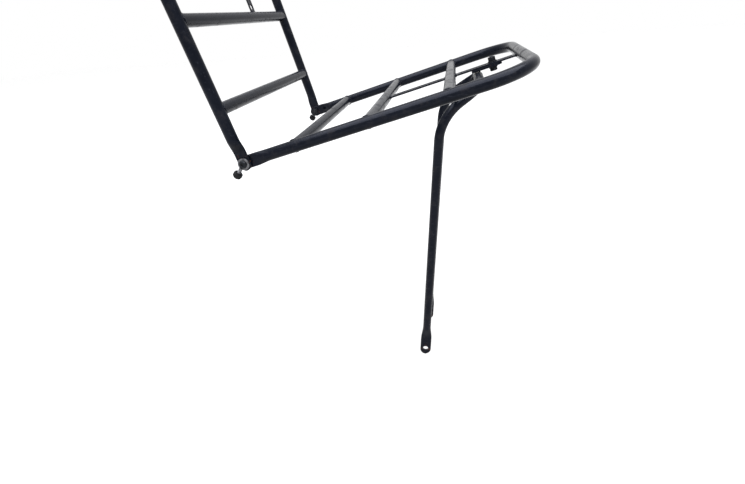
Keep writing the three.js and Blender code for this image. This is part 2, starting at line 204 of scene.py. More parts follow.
# ---------------------------------------------------------------- materials
PAINT_DARK = (0.0014, 0.0020, 0.0040)
PAINT_LIGHT = (0.0036, 0.0046, 0.0076)
PAINT_RUBBED = (0.020, 0.022, 0.028)
PAINT_GRIME = (0.011, 0.010, 0.010)
PAINT_DUST = (0.16, 0.16, 0.17)
RUST_DARK = (0.030, 0.013, 0.008)
RUST_LIGHT = (0.085, 0.036, 0.018)
WEAR_SHARE = 0.22
PAINT_SPECULAR = 0.10
PAINT_SPECULAR_TINT = (0.82, 0.85, 1.0, 1)
ZINC_SPECULAR = 0.2
PLASTIC_DARK = (0.004, 0.004, 0.005)
PLASTIC_SCUFFED = (0.014, 0.014, 0.015)
PLASTIC_SPECULAR = 0.12


def shader(name):
    """A new node material with its principled shader and the object's coordinates."""
    material = bpy.data.materials.new(name)
    material.use_nodes = True
    nodes = material.node_tree.nodes
    place = nodes.new("ShaderNodeTexCoord").outputs["Object"]
    return material, nodes["Principled BSDF"], place


def noise(material, place, scale, detail, roughness, stretch=None):
    """A noise pattern, with its value from 0 to 1."""
    tree = material.node_tree
    if stretch is not None:
        mapping = tree.nodes.new("ShaderNodeMapping")
        mapping.inputs["Scale"].default_value = stretch
        tree.links.new(place, mapping.inputs["Vector"])
        place = mapping.outputs["Vector"]
    node = tree.nodes.new("ShaderNodeTexNoise")
    node.inputs["Scale"].default_value = scale
    node.inputs["Detail"].default_value = detail
    node.inputs["Roughness"].default_value = roughness
    tree.links.new(place, node.inputs["Vector"])
    return node.outputs["Fac"]


def remap(material, value, low, high, to_low=0.0, to_high=1.0):
    """The value taken from one range to another and kept inside it."""
    node = material.node_tree.nodes.new("ShaderNodeMapRange")
    settings = {"From Min": low, "From Max": high, "To Min": to_low, "To Max": to_high}
    for socket, number in settings.items():
        node.inputs[socket].default_value = number
    material.node_tree.links.new(value, node.inputs["Value"])
    return node.outputs["Result"]


def combine(material, kind, first, second):
    """Two values, or a value and a number, put together by a math node."""
    node = material.node_tree.nodes.new("ShaderNodeMath")
    node.operation = kind
    for socket, value in zip(node.inputs, (first, second)):
        if isinstance(value, (int, float)):
            socket.default_value = value
        else:
            material.node_tree.links.new(value, socket)
    return node.outputs["Value"]


def mixed(material, amount, first, second):
    """A colour between two, each given as a socket or as red, green and blue."""
    node = material.node_tree.nodes.new("ShaderNodeMix")
    node.data_type = "RGBA"
    material.node_tree.links.new(amount, node.inputs["Factor"])
    for socket, colour in ((node.inputs[6], first), (node.inputs[7], second)):
        if isinstance(colour, tuple):
            socket.default_value = (*colour, 1.0)
        else:
            material.node_tree.links.new(colour, socket)
    return node.outputs[2]


def bumped(material, shade, heights):
    """Bump from pairs of a height pattern and its depth in metres."""
    tree = material.node_tree
    normal = None
    for height, depth in heights:
        node = tree.nodes.new("ShaderNodeBump")
        node.inputs["Strength"].default_value = 1.0
        node.inputs["Distance"].default_value = depth
        tree.links.new(height, node.inputs["Height"])
        if normal is not None:
            tree.links.new(normal, node.inputs["Normal"])
        normal = node.outputs["Normal"]
    tree.links.new(normal, shade.inputs["Normal"])


def paint_material():
    """Satin black enamel with orange peel, rubbed patches, grime, dust and rust near worn places."""
    material, shade, place = shader("black_paint")
    link = material.node_tree.links.new
    wear_node = material.node_tree.nodes.new("ShaderNodeAttribute")
    wear_node.attribute_name = "wear"
    wear = wear_node.outputs["Fac"]

    cloud = noise(material, place, scale=26, detail=5, roughness=0.6)
    smudge = noise(material, place, scale=75, detail=4, roughness=0.65)
    peel = noise(material, place, scale=520, detail=2, roughness=0.45)
    grit = noise(material, place, scale=1500, detail=2, roughness=0.6)
    scratch = noise(material, place, scale=130, detail=3, roughness=0.7, stretch=(0.3, 3.0, 2.4))
    speck = noise(material, place, scale=210, detail=5, roughness=0.68)

    shaded = remap(material, combine(material, "ADD", cloud, smudge), 0.75, 1.25)
    base = mixed(material, shaded, PAINT_DARK, PAINT_LIGHT)
    rubbed = remap(material, scratch, 0.60, 0.74, to_high=0.5)
    base = mixed(material, rubbed, base, PAINT_RUBBED)
    grime = remap(material, smudge, 0.52, 0.68, to_high=0.5)
    base = mixed(material, grime, base, PAINT_GRIME)

    facing = material.node_tree.nodes.new("ShaderNodeNewGeometry")
    split = material.node_tree.nodes.new("ShaderNodeSeparateXYZ")
    link(facing.outputs["Normal"], split.inputs["Vector"])
    upward = remap(material, split.outputs["Z"], 0.55, 1.0)
    dust = remap(material, grit, 0.35, 0.75, to_high=0.10)
    settled = combine(material, "MULTIPLY", upward, dust)
    base = mixed(material, settled, base, PAINT_DUST)

    worn = combine(material, "MULTIPLY", wear, WEAR_SHARE)
    rust = remap(material, combine(material, "ADD", speck, worn), 0.76, 0.84)
    browns = mixed(material, remap(material, grit, 0.3, 0.7), RUST_DARK, RUST_LIGHT)
    base = mixed(material, rust, base, browns)
    link(base, shade.inputs["Base Color"])

    dullness = remap(material, shaded, 0.0, 1.0, to_low=0.17, to_high=0.25)
    for amount, effect in ((rubbed, 0.30), (grime, 0.35), (settled, 0.8), (rust, 0.5)):
        more = combine(material, "MULTIPLY", amount, effect)
        dullness = combine(material, "ADD", dullness, more)
    link(dullness, shade.inputs["Roughness"])
    shade.inputs["Specular IOR Level"].default_value = PAINT_SPECULAR
    shade.inputs["Specular Tint"].default_value = PAINT_SPECULAR_TINT
    bumped(material, shade, [(peel, 0.05 * MM), (grit, 0.006 * MM), (speck, 0.02 * MM)])
    return material


def zinc_material(name, dark, light, tint, metallic):
    """Plated steel, mottled from dark to light, with a fine grain and a bloom of a given tint."""
    material, shade, place = shader(name)
    link = material.node_tree.links.new
    cloud = noise(material, place, scale=260, detail=4, roughness=0.6)
    fine = noise(material, place, scale=1800, detail=3, roughness=0.6)
    patches = noise(material, place, scale=420, detail=4, roughness=0.7)
    bloom = remap(material, patches, 0.60, 0.72)
    base = mixed(material, remap(material, cloud, 0.3, 0.7), dark, light)
    base = mixed(material, combine(material, "MULTIPLY", bloom, 0.5), base, tint)
    link(base, shade.inputs["Base Color"])
    shade.inputs["Metallic"].default_value = metallic
    shade.inputs["Specular IOR Level"].default_value = ZINC_SPECULAR
    mottled = remap(material, cloud, 0.3, 0.7, to_low=0.30, to_high=0.48)
    dullness = combine(material, "ADD", mottled, combine(material, "MULTIPLY", bloom, 0.25))
    link(dullness, shade.inputs["Roughness"])
    bumped(material, shade, [(cloud, 0.03 * MM), (fine, 0.01 * MM)])
    return material


def plastic_material():
    """Moulded black plastic with a fine spark-eroded grain and scuffed high spots."""
    material, shade, place = shader("black_plastic")
    link = material.node_tree.links.new
    grain = noise(material, place, scale=2600, detail=2, roughness=0.5)
    patches = noise(material, place, scale=340, detail=4, roughness=0.7)
    scuff = remap(material, patches, 0.58, 0.70)
    link(mixed(material, scuff, PLASTIC_DARK, PLASTIC_SCUFFED), shade.inputs["Base Color"])
    dullness = remap(material, scuff, 0.0, 1.0, to_low=0.38, to_high=0.60)
    link(dullness, shade.inputs["Roughness"])
    shade.inputs["Specular IOR Level"].default_value = PLASTIC_SPECULAR
    bumped(material, shade, [(grain, 0.03 * MM)])
    return material


MATERIALS = {
    "black_paint": paint_material(),
    "zinc": zinc_material(
        "zinc", dark=(0.06, 0.06, 0.065), light=(0.17, 0.17, 0.178), tint=(0.12, 0.085, 0.06),
        metallic=0.85,
    ),
    "black_zinc": zinc_material(
        "black_zinc", dark=(0.005, 0.006, 0.008), light=(0.014, 0.015, 0.018),
        tint=(0.045, 0.022, 0.014), metallic=0.5,
    ),
    "black_plastic": plastic_material(),
}

# ---------------------------------------------------------------- wear
SIDES = (-1, 1)
SLATS = {"slat_front": 1, "slat_middle": 2, "slat_rear": 3}
BACK_BARS = {"backrest_bar_lower": LOWER_BAR, "backrest_bar_upper": UPPER_BAR}
CORNER_WEAR = 20 * MM
WELD_WEAR = 10 * MM
FOOT_WEAR = 22 * MM
CLAMP_WEAR = 18 * MM

# Places where the paint is rusting, each with the distance that the rust spreads.
WEAR_SPOTS = [(on_platform(CLAMP_S, 0), CLAMP_WEAR)]
for side in SIDES:
    WEAR_SPOTS.append((on_platform(0, side * LUG_JOINT_Y), CORNER_WEAR))
    WEAR_SPOTS.append((Vector((0, side * FOOT_Y, 0)), FOOT_WEAR))
    WEAR_SPOTS += [(on_platform(slat_s(n), side * RAIL_Y), WELD_WEAR) for n in SLATS.values()]
    WEAR_SPOTS += [(on_backrest(v, side * UPRIGHT_Y), WELD_WEAR) for v in BACK_BARS.values()]


def wear_at(point):
    """How worn the paint is at a point, from 0 to 1."""
    return max(math.exp(-(((point - spot).length / spread) ** 2)) for spot, spread in WEAR_SPOTS)


# ---------------------------------------------------------------- making pieces
def add_piece(mesh, body, slot, node=None, sharp=PLAIN_SHARP):
    """Shows a mesh as a piece that rides on a body and may stand for a CAD node."""
    piece = bpy.data.objects.new(mesh.name, mesh)
    bpy.context.scene.collection.objects.link(piece)
    for polygon in mesh.polygons:
        polygon.use_smooth = True
    mesh.set_sharp_from_angle(angle=math.radians(sharp))
    wear = mesh.attributes.new("wear", "FLOAT", "POINT")
    wear.data.foreach_set("value", [wear_at(vertex.co) for vertex in mesh.vertices])
    mesh.materials.clear()
    mesh.materials.append(MATERIALS[slot])
    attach(piece, body)
    if node is not None:
        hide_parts(node)


def mesh_from(name, verts, faces):
    """A mesh with its faces turned outwards."""
    mesh = bpy.data.meshes.new(name)
    mesh.from_pydata([tuple(v) for v in verts], [], faces)
    work = bmesh.new()
    work.from_mesh(mesh)
    bmesh.ops.remove_doubles(work, verts=work.verts, dist=MERGE)
    bmesh.ops.recalc_face_normals(work, faces=work.faces)
    work.to_mesh(mesh)
    work.free()
    return mesh


def wall(rings, sides, closed=False):
    """The faces that join rings of points, each to the next. Closed also joins last to first."""
    total = rings * sides
    faces = []
    for ring in range(rings if closed else rings - 1):
        for k in range(sides):
            a, b = ring * sides + k, ring * sides + (k + 1) % sides
            faces.append((a, b, (b + sides) % total, (a + sides) % total))
    return faces


def caps(rings, sides):
    """The faces that close the first and the last ring."""
    return [tuple(range(sides)), tuple(range((rings - 1) * sides, rings * sides))]


def combined(kind, mesh, *others):
    """The mesh with others cut from it or joined to it."""
    name = mesh.name
    target = bpy.data.objects.new(name, mesh)
    bpy.context.scene.collection.objects.link(target)
    tools = []
    for other in others:
        tool = bpy.data.objects.new(other.name, other)
        bpy.context.scene.collection.objects.link(tool)
        tools.append(tool)
        modifier = target.modifiers.new(other.name, "BOOLEAN")
        modifier.operation = kind
        modifier.solver = "EXACT"
        modifier.object = tool
    bpy.context.view_layer.update()
    graph = bpy.context.evaluated_depsgraph_get()
    result = bpy.data.meshes.new_from_object(target.evaluated_get(graph))
    for used in (target, *tools):
        data = used.data
        bpy.data.objects.remove(used)
        bpy.data.meshes.remove(data)
    result.name = name
    return result


def rounded_path(corners, extra, arc_step=math.radians(4)):
    """Points and directions along straight runs joined by arcs, with extra points near the ends."""
    first, last = corners[0][0], corners[-1][0]
    start = (corners[1][0] - first).normalized()
    finish = (last - corners[-2][0]).normalized()
    stations = [(first, start)]
    stations += [(first + start * mark, start) for mark in extra]
    for (before, _), (at, radius), (after, _) in zip(corners, corners[1:], corners[2:]):
        into = (at - before).normalized()
        out = (after - at).normalized()
        angle = into.angle(out)
        inward = (out - into * math.cos(angle)) / math.sin(angle)
        begin = at - into * radius * math.tan(angle / 2)
        steps = max(4, round(angle / arc_step))
        for i in range(steps + 1):
            turn = angle * i / steps
            point = begin + into * radius * math.sin(turn) + inward * radius * (1 - math.cos(turn))
            stations.append((point, into * math.cos(turn) + inward * math.sin(turn)))
    stations += [(last - finish * mark, finish) for mark in reversed(extra)]
    stations.append((last, finish))
    return stations


def sweep(name, stations, radius, sides):
    """A closed round bar along stations. The radius may be a list, with one for each station."""
    radii = radius if isinstance(radius, list) else [radius] * len(stations)
    tangent = stations[0][1]
    across = tangent.orthogonal().normalized()
    verts = []
    for (point, direction), r in zip(stations, radii):
        across = tangent.rotation_difference(direction) @ across
        across = (across - direction * across.dot(direction)).normalized()
        tangent = direction
        other = direction.cross(across)
        for k in range(sides):
            angle = 2 * math.pi * (k + 0.5) / sides
            verts.append(point + across * (r * math.cos(angle)) + other * (r * math.sin(angle)))
    rings = len(stations)
    return mesh_from(name, verts, wall(rings, sides) + caps(rings, sides))


def end_marks(radius, tip, reach, blend, spread):
    """Distances from a tube's end that need a ring of points where it is pressed and rounded."""
    full = radius * (1 + spread)
    quarter = math.pi / 2
    rounding = [full * (1 - math.cos(quarter * i / TIP_RINGS)) for i in range(1, TIP_RINGS + 1)]
    rest = tip + reach + blend - full
    return rounding + [full + rest * i / BLEND_RINGS for i in range(1, BLEND_RINGS + 1)]


def press(mesh, centre, along, start, heading, radius, tip, reach, blend, spread):
    """Presses the end of a tube flat about its hole's centre, square to Y.

    The tube's axis leaves start on heading. The flat runs along, from its rounded tip, and its long
    edges are rounded.
    """
    wide = along.cross(Y_AXIS).normalized()
    full = radius * (1 + spread)
    half = LUG / 2
    nearby = 3 * radius
    for vertex in mesh.vertices:
        # The height up the tube, then how far the point is off the axis, along Y and across.
        height = (vertex.co - centre).dot(along)
        axis = start + heading * ((height - (start - centre).dot(along)) / heading.dot(along))
        off, across = (vertex.co - axis).dot(Y_AXIS), (vertex.co - axis).dot(wide)
        if abs(off) > nearby or abs(across) > nearby or height > reach + blend:
            continue
        step = min(1.0, max(0.0, (abs(height) - reach) / blend))
        amount = 1 - step * step * (3 - 2 * step)
        left = min(1.0, max(0.0, 1 - (height + tip) / full))
        outline = max(TIP_LEAST, math.sqrt(1 - left * left))
        width = across * (1 + spread * amount)
        beyond = min(half, max(0.0, abs(width) - (full - half)))
        limit = math.sqrt(half * half - beyond * beyond)
        flat = min(limit, max(-limit, off))
        aside = (axis - centre).dot(Y_AXIS)
        level = (axis - centre).dot(wide)
        depth = (off + aside) + (flat - off - aside) * amount
        vertex.co = centre + along * height + Y_AXIS * depth + wide * (level + width * outline)


def drill(at, direction, radius, length):
    """A round cutter centred on a point."""
    half = direction.normalized() * length / 2
    return sweep("drill", [(at - half, direction), (at + half, direction)], radius, DRILL_SIDES)


# ---------------------------------------------------------------- tubes
def hoop(name, place, along, half_width, length, lug_y):
    """A hoop with two corners and two pressed and drilled ends."""
    tip = LUG_SHAPE["tip"]
    corners = [
        (place(-tip, -half_width), 0),
        (place(length, -half_width), BEND_R),
        (place(length, half_width), BEND_R),
        (place(-tip, half_width), 0),
    ]
    mesh = sweep(name, rounded_path(corners, end_marks(**LUG_SHAPE)), TUBE_R, BENT_SIDES)
    for side in SIDES:
        start = place(0, side * half_width)
        press(mesh, place(0, side * lug_y), along, start, along, **LUG_SHAPE)
    holes = [drill(place(0, side * lug_y), Y_AXIS, BORE, 4 * LUG) for side in SIDES]
    return combined("DIFFERENCE", mesh, *holes)


def coped_bar(name, middle, half_length, along):
    """A bar across two parallel tubes, with each end shaped to the tube that it meets."""
    up = along.cross(Y_AXIS).normalized()
    verts = []
    for ring in range(BAR_RINGS + 1):
        for k in range(BAR_SIDES):
            angle = 2 * math.pi * k / BAR_SIDES
            lean = COPE_FOLLOW * TUBE_R * math.sin(angle)
            reach = half_length - math.sqrt(TUBE_R**2 - lean**2)
            y = reach * (2 * ring / BAR_RINGS - 1)
            round_part = along * (TUBE_R * math.cos(angle)) + up * (TUBE_R * math.sin(angle))
            verts.append(middle + round_part + Y_AXIS * y)
    faces = wall(BAR_RINGS + 1, BAR_SIDES)
    for ring, side in ((0, -1), (BAR_RINGS, 1)):
        verts.append(middle + Y_AXIS * side * (half_length - TUBE_R))
        for k in range(BAR_SIDES):
            a, b = ring * BAR_SIDES + k, ring * BAR_SIDES + (k + 1) % BAR_SIDES
            faces.append((a, b, len(verts) - 1))
    return mesh_from(name, verts, faces)


def stay_mesh():
    """One bent tube: up from the axle, forwards over the wheel and across under the platform."""
    def foot(side):
        return Vector((0, side * FOOT_Y, 0))

    def knee(side):
        return on_platform(KNEE_S, side * KNEE_Y, KNEE_H)

    def shoulder(side):
        return on_platform(SHOULDER_S, side * SHOULDER_Y, SHOULDER_H)

    def foot_end(side):
        return foot(side) + (foot(side) - knee(side)).normalized() * FOOT_SHAPE["tip"]

    corners = [
        (foot_end(-1), 0),
        (knee(-1), KNEE_BEND_R),
        (shoulder(-1), SHOULDER_BEND_R),
        (on_platform(CROSSBAR_S, 0, CROSSBAR_H), CROWN_BEND_R),
        (shoulder(1), SHOULDER_BEND_R),
        (knee(1), KNEE_BEND_R),
        (foot_end(1), 0),
    ]
    mesh = sweep("stay_tube", rounded_path(corners, end_marks(**FOOT_SHAPE)), STAY_R, BENT_SIDES)
    for side in SIDES:
        heading = (knee(side) - foot(side)).normalized()
        press(mesh, foot(side), Z_AXIS, foot(side), heading, **FOOT_SHAPE)
    holes = [drill(foot(side), Y_AXIS, AXLE_HOLE_R, 4 * LUG) for side in SIDES]
    return combined("DIFFERENCE", mesh, *holes)


# ---------------------------------------------------------------- flat pieces
def arc(centre, radius, start, end, steps=16):
    """Points along an arc in a plane, with angles in degrees."""
    angles = [math.radians(start + (end - start) * i / steps) for i in range(steps + 1)]
    return [(centre[0] + radius * math.cos(a), centre[1] + radius * math.sin(a)) for a in angles]


def plate(name, outline, holes, thickness, matrix):
    """A flat plate with holes and eased edges, drawn in local X and Y and laid out by a matrix."""
    drawing = bpy.data.curves.new(name, "CURVE")
    drawing.dimensions = "2D"
    drawing.fill_mode = "BOTH"
    drawing.extrude = thickness / 2 - PLATE_EDGE
    drawing.bevel_depth = PLATE_EDGE
    drawing.bevel_resolution = 3
    drawing.offset = -PLATE_EDGE
    for loop in (outline, *holes):
        spline = drawing.splines.new("POLY")
        spline.points.add(len(loop) - 1)
        for point, (x, y) in zip(spline.points, loop):
            point.co = (x, y, 0, 1)
        spline.use_cyclic_u = True
    holder = bpy.data.objects.new(name, drawing)
    bpy.context.scene.collection.objects.link(holder)
    bpy.context.view_layer.update()
    graph = bpy.context.evaluated_depsgraph_get()
    rough = bpy.data.meshes.new_from_object(holder.evaluated_get(graph))
    bpy.data.objects.remove(holder)
    bpy.data.curves.remove(drawing)
    work = bmesh.new()
    work.from_mesh(rough)
    bpy.data.meshes.remove(rough)
    bmesh.ops.remove_doubles(work, verts=work.verts, dist=PLATE_MERGE)
    bmesh.ops.recalc_face_normals(work, faces=work.faces)
    bmesh.ops.transform(work, matrix=matrix, verts=work.verts)
    mesh = bpy.data.meshes.new(name)
    work.to_mesh(mesh)
    work.free()
    return mesh


def laid_out(x, y, z, at):
    """The matrix that lays local X, Y and Z along three directions, from a point."""
    turn = Matrix((x, y, z)).transposed().to_4x4()
    return Matrix.Translation(at) @ turn


def slotted_strip(name, start, end):
    """A flat strip from one tube's axis to the next, with a long slot along its middle."""
    half = (end - start) / 2 - TUBE_R + PLATE_SINK
    width = STRIP_WIDTH / 2
    slot_end = (end - start) / 2 - TUBE_R - GAP - SLOT_MARGIN
    outline = [(-half, -width), (half, -width), (half, width), (-half, width)]
    round_end = SLOT_WIDTH / 2
    slot = arc((slot_end, 0), round_end, -90, 90) + arc((-slot_end, 0), round_end, 90, 270)
    matrix = laid_out(ALONG, Y_AXIS, NORMAL, on_platform((start + end) / 2, 0))
    return plate(name, outline, [slot], STRIP_THICK, matrix)


def stay_tab_mesh():
    """The tab on the stay's top bar, bolted up against the slotted strip."""
    width = STRIP_WIDTH / 2
    nose = arc((TAB_FRONT - width, 0), width, -90, 90, 24)
    outline = [(-TAB_REAR, -width), *nose, (-TAB_REAR, width)]
    hole = arc((0, 0), BORE, 0, 345, 23)  # one step short of a full turn
    middle = on_platform(CLAMP_S, 0, (TAB_TOP + TAB_BOTTOM) / 2)
    return plate("tab", outline, [hole], TAB_THICK, laid_out(ALONG, Y_AXIS, NORMAL, middle))


def head_strap_mesh():
    """The flat strap from the upper bar to the top bar, with its row of holes."""
    start = UPPER_BAR + TUBE_R - PLATE_SINK
    end = BACK_HEIGHT - TUBE_R + PLATE_SINK
    middle = (start + end) / 2
    half = (end - start) / 2
    width = HEAD_STRAP_WIDTH / 2
    outline = [(-half, -width), (half, -width), (half, width), (-half, width)]
    holes = []
    v = UPPER_BAR + HEAD_STRAP_FIRST
    while v < BACK_HEIGHT - TUBE_R - GAP - HEAD_STRAP_HOLE:
        holes.append(arc((v - middle, 0), HEAD_STRAP_HOLE / 2, 0, 350, 35))  # one step short too
        v += HEAD_STRAP_PITCH
    matrix = laid_out(UPRIGHT, -Y_AXIS, BACK_FRONT, on_backrest(middle, HEAD_STRAP_Y))
    return plate("strap", outline, holes, HEAD_STRAP_THICK, matrix)


# ---------------------------------------------------------------- turned pieces
def turned(name, profile, matrix, closed=False):
    """A piece turned about local Z. Each radius and height is a number or depends on the angle."""
    def at(value, angle):
        return value(angle) if callable(value) else value

    verts, faces, rings = [], [], []
    for radius, height in profile:
        if not callable(radius) and radius == 0:
            verts.append(Vector((0, 0, height)))
            rings.append([len(verts) - 1] * TURNED_SIDES)
            continue
        ring = []
        for k in range(TURNED_SIDES):
            angle = 2 * math.pi * k / TURNED_SIDES
            r = at(radius, angle)
            verts.append(Vector((r * math.cos(angle), r * math.sin(angle), at(height, angle))))
            ring.append(len(verts) - 1)
        rings.append(ring)
    pairs = list(zip(rings, rings[1:]))
    if closed:
        pairs.append((rings[-1], rings[0]))
    for lower, upper in pairs:
        for k in range(TURNED_SIDES):
            n = (k + 1) % TURNED_SIDES
            # A ring on the axis is one point, so its faces come down to triangles.
            faces.append(tuple(dict.fromkeys((lower[k], lower[n], upper[n], upper[k]))))
    return mesh_from(name, [matrix @ v for v in verts], faces)


def pointing(at, direction):
    """The matrix that stands local Z on a point, along a direction."""
    return Matrix.Translation(at) @ Z_AXIS.rotation_difference(direction).to_matrix().to_4x4()


def hexagon(flats):
    """The radius of a hexagon at each angle."""
    return lambda angle: flats / 2 / math.cos((angle + math.pi / 6) % (math.pi / 3) - math.pi / 6)


def chamfer_drop(angle):
    """How far a chamfer outside its circle has come down at the outline of an M6 hexagon."""
    return max(0.0, hexagon(M6_FLATS)(angle) - CHAMFER_CIRCLE) * math.tan(CHAMFER_ANGLE)


def nut_mesh(name, at, direction):
    """A hexagon nut, chamfered on both faces and countersunk at both ends of its bore."""
    outline = hexagon(M6_FLATS)
    sink = 0.45 * MM
    profile = [
        (BORE + sink, 0), (CHAMFER_CIRCLE, 0), (outline, chamfer_drop),
        (outline, lambda angle: NUT - chamfer_drop(angle)), (CHAMFER_CIRCLE, NUT),
        (BORE + sink, NUT), (BORE, NUT - sink), (BORE, sink),
    ]
    return turned(name, profile, pointing(at, direction), closed=True)


def washer_mesh(name, at, direction):
    """A plain washer with one face slightly rounded by the punch."""
    ease = 0.3 * MM
    back_ease = 0.15 * MM
    bore_ease = 0.1 * MM
    profile = [
        (BORE, 0), (WASHER_R - back_ease, 0), (WASHER_R, back_ease), (WASHER_R, WASHER - ease),
        (WASHER_R - MID_EASE * ease, WASHER - MID_EASE * ease), (WASHER_R - ease, WASHER),
        (BORE + bore_ease, WASHER), (BORE, WASHER - bore_ease),
    ]
    return turned(name, profile, pointing(at, direction), closed=True)


def thread(start, end):
    """Rings of a rolled thread from a height to a bolt's end, with a chamfered tip."""
    rings = []
    steps = round((end - start) / (M6_PITCH / RINGS_PER_TURN))
    for i in range(steps + 1):
        z = start + (end - start) * i / steps
        limit = M6 - max(0.0, z - (end - THREAD_TIP))

        def radius(angle, z=z, limit=limit):
            wave = 0.5 + 0.5 * math.cos(2 * math.pi * z / M6_PITCH - angle)
            return min(M6 - THREAD_DEPTH * wave, limit)

        rings.append((radius, z))
    return rings


def hex_bolt_mesh(name, at, direction, length):
    """A hexagon-headed bolt. The head starts at the point and the shank runs on behind it."""
    outline = hexagon(M6_FLATS)
    end = BOLT_HEAD + length
    dish, dish_edge = 0.25 * MM, 0.22 * MM
    dish_r, dish_rim_r = 0.6 * CHAMFER_CIRCLE, 0.72 * CHAMFER_CIRCLE
    bearing_r, bearing_edge = 0.96 * M6_FLATS / 2, 0.3 * MM
    fillet = 0.2 * MM
    thread_start = end - THREAD_LENGTH
    run_in = 0.5 * MM
    profile = [
        (0, dish), (dish_r, dish_edge), (dish_rim_r, 0), (CHAMFER_CIRCLE, 0),
        (outline, chamfer_drop), (outline, BOLT_HEAD - bearing_edge), (bearing_r, BOLT_HEAD),
        (M6 + fillet, BOLT_HEAD), (M6, BOLT_HEAD + fillet), (M6, thread_start),
        *thread(thread_start + run_in, end), (0, end),
    ]
    return turned(name, profile, pointing(at, direction))


def button_bolt_mesh(name, at, direction, length):
    """A low domed bolt with a hexagon socket."""
    socket = hexagon(SOCKET_FLATS)
    flat_top = 2.9 * MM
    rim = 0.6 * MM
    dome = []
    for i in range(DOME_STEPS + 1):
        angle = math.pi / 2 * i / DOME_STEPS
        height = (BUTTON_HEAD - rim) * (1 - math.cos(angle))
        dome.append((flat_top + (BUTTON_R - flat_top) * math.sin(angle), height))
    end = BUTTON_HEAD + length
    socket_point, socket_depth = 2.1 * MM, 1.7 * MM
    mouth_depth, mouth_width = 0.25 * MM, 0.2 * MM
    edge = 0.15 * MM
    profile = [
        (0, socket_point), (socket, socket_depth), (socket, mouth_depth),
        (lambda angle: socket(angle) + mouth_width, 0), *dome, (BUTTON_R, BUTTON_HEAD - edge),
        (BUTTON_R - edge, BUTTON_HEAD), (M6, BUTTON_HEAD), *thread(end - THREAD_LENGTH, end),
        (0, end),
    ]
    return turned(name, profile, pointing(at, direction))


def knob_mesh(name, at, direction):
    """A domed knob with shallow finger flutes and a small step at its mouth."""
    def fluted(radius, depth):
        return lambda angle: radius - depth * (0.5 + 0.5 * math.cos(KNOB_FLUTES * angle)) ** 2

    side = 0.55 * KNOB_HEIGHT
    dome = []
    for i in range(1, DOME_STEPS):
        angle = math.pi / 2 * i / DOME_STEPS
        height = side + (KNOB_HEIGHT - side) * math.sin(angle)
        dome.append((fluted(KNOB_R * math.cos(angle), KNOB_FLUTE * math.cos(angle) ** 3), height))
    bore = STUD_R + GAP
    roof = KNOB_HEIGHT - 2 * MM
    ease = 0.3 * MM
    mouth_r, mouth_top = 4.8 * MM, 0.9 * MM
    skirt_r, skirt_start, skirt_end = KNOB_R - 0.5 * MM, 1.1 * MM, 1.8 * MM
    profile = [
        (bore + ease, 0), (mouth_r - ease, 0), (mouth_r, ease), (mouth_r, mouth_top),
        (fluted(skirt_r, KNOB_FLUTE / 2), skirt_start), (fluted(KNOB_R, KNOB_FLUTE), skirt_end),
        (fluted(KNOB_R, KNOB_FLUTE), side), *dome, (0, KNOB_HEIGHT),
    ]
    inside = [(0, roof), (bore, roof), (bore, ease), (bore + ease, 0)]
    return turned(name, profile + inside, pointing(at, direction))


def stud_mesh(name, eye_centre, shank_centre, outward):
    """An eye that fits over the corner bolt, with a short round shank that ends in a thread."""
    ease = 0.5 * MM
    half = STUD_EYE / 2
    middle = MID_EASE * ease
    ring = [
        (BORE, -half + ease), (BORE + ease, -half), (STUD_EYE_R - ease, -half),
        (STUD_EYE_R - middle, -half + middle), (STUD_EYE_R, -half + ease),
        (STUD_EYE_R, half - ease), (STUD_EYE_R - middle, half - middle),
        (STUD_EYE_R - ease, half), (BORE + ease, half), (BORE, half - ease),
    ]
    eye = turned(name, ring, pointing(eye_centre, outward), closed=True)
    start = WASHER_R + 2 * GAP
    plain_end = start + 3.5 * MM
    end = STUD_REACH + KNOB_HEIGHT - 3 * MM
    stations, radii = [], []
    for i in range(SHANK_STEPS + 1):
        reach = start + (end - start) * i / SHANK_STEPS
        stations.append((shank_centre + STUD_DIRECTION * reach, STUD_DIRECTION))
        wave = 0.5 + 0.5 * math.cos(2 * math.pi * reach / STUD_PITCH)
        radii.append(STUD_R - STUD_GROOVE * wave if reach > plain_end else STUD_R)
    shank = sweep(name + "_shank", stations, radii, SHANK_SIDES)
    return combined("UNION", eye, shank)


# ---------------------------------------------------------------- welds
def bead(name, points, radius, closed, seed):
    """A weld bead along points, with the ripples and the uneven width of hand welding."""
    phase = random.Random(seed).uniform(0, 2 * math.pi)
    count = len(points)
    travelled = 0.0
    across = None
    verts = []
    for i, point in enumerate(points):
        before = points[i - 1] if closed or i > 0 else points[0]
        after = points[(i + 1) % count] if closed or i < count - 1 else points[-1]
        direction = (after - before).normalized()
        travelled += (point - before).length if i > 0 else 0.0
        ripple = math.cos(2 * math.pi * travelled / BEAD_RIPPLE_LENGTH + phase)
        wander = math.sin(travelled / BEAD_WANDER_LENGTH + phase)
        size = radius * (1 + BEAD_RIPPLE * ripple) * (1 + BEAD_WANDER * wander)
        if not closed:
            from_end = min(i, count - 1 - i) / (BEAD_TAPER * count)
            size *= max(BEAD_END, math.sqrt(1 - max(0.0, 1 - from_end) ** 2))
        if across is None:
            across = direction.orthogonal()
        across = (across - direction * across.dot(direction)).normalized()
        other = direction.cross(across)
        for k in range(BEAD_SIDES):
            angle = 2 * math.pi * k / BEAD_SIDES
            round_part = across * math.cos(angle) + other * math.sin(angle)
            verts.append(point + round_part * size)
    faces = wall(count, BEAD_SIDES, closed)
    if not closed:
        faces += caps(count, BEAD_SIDES)
    return mesh_from(name, verts, faces)


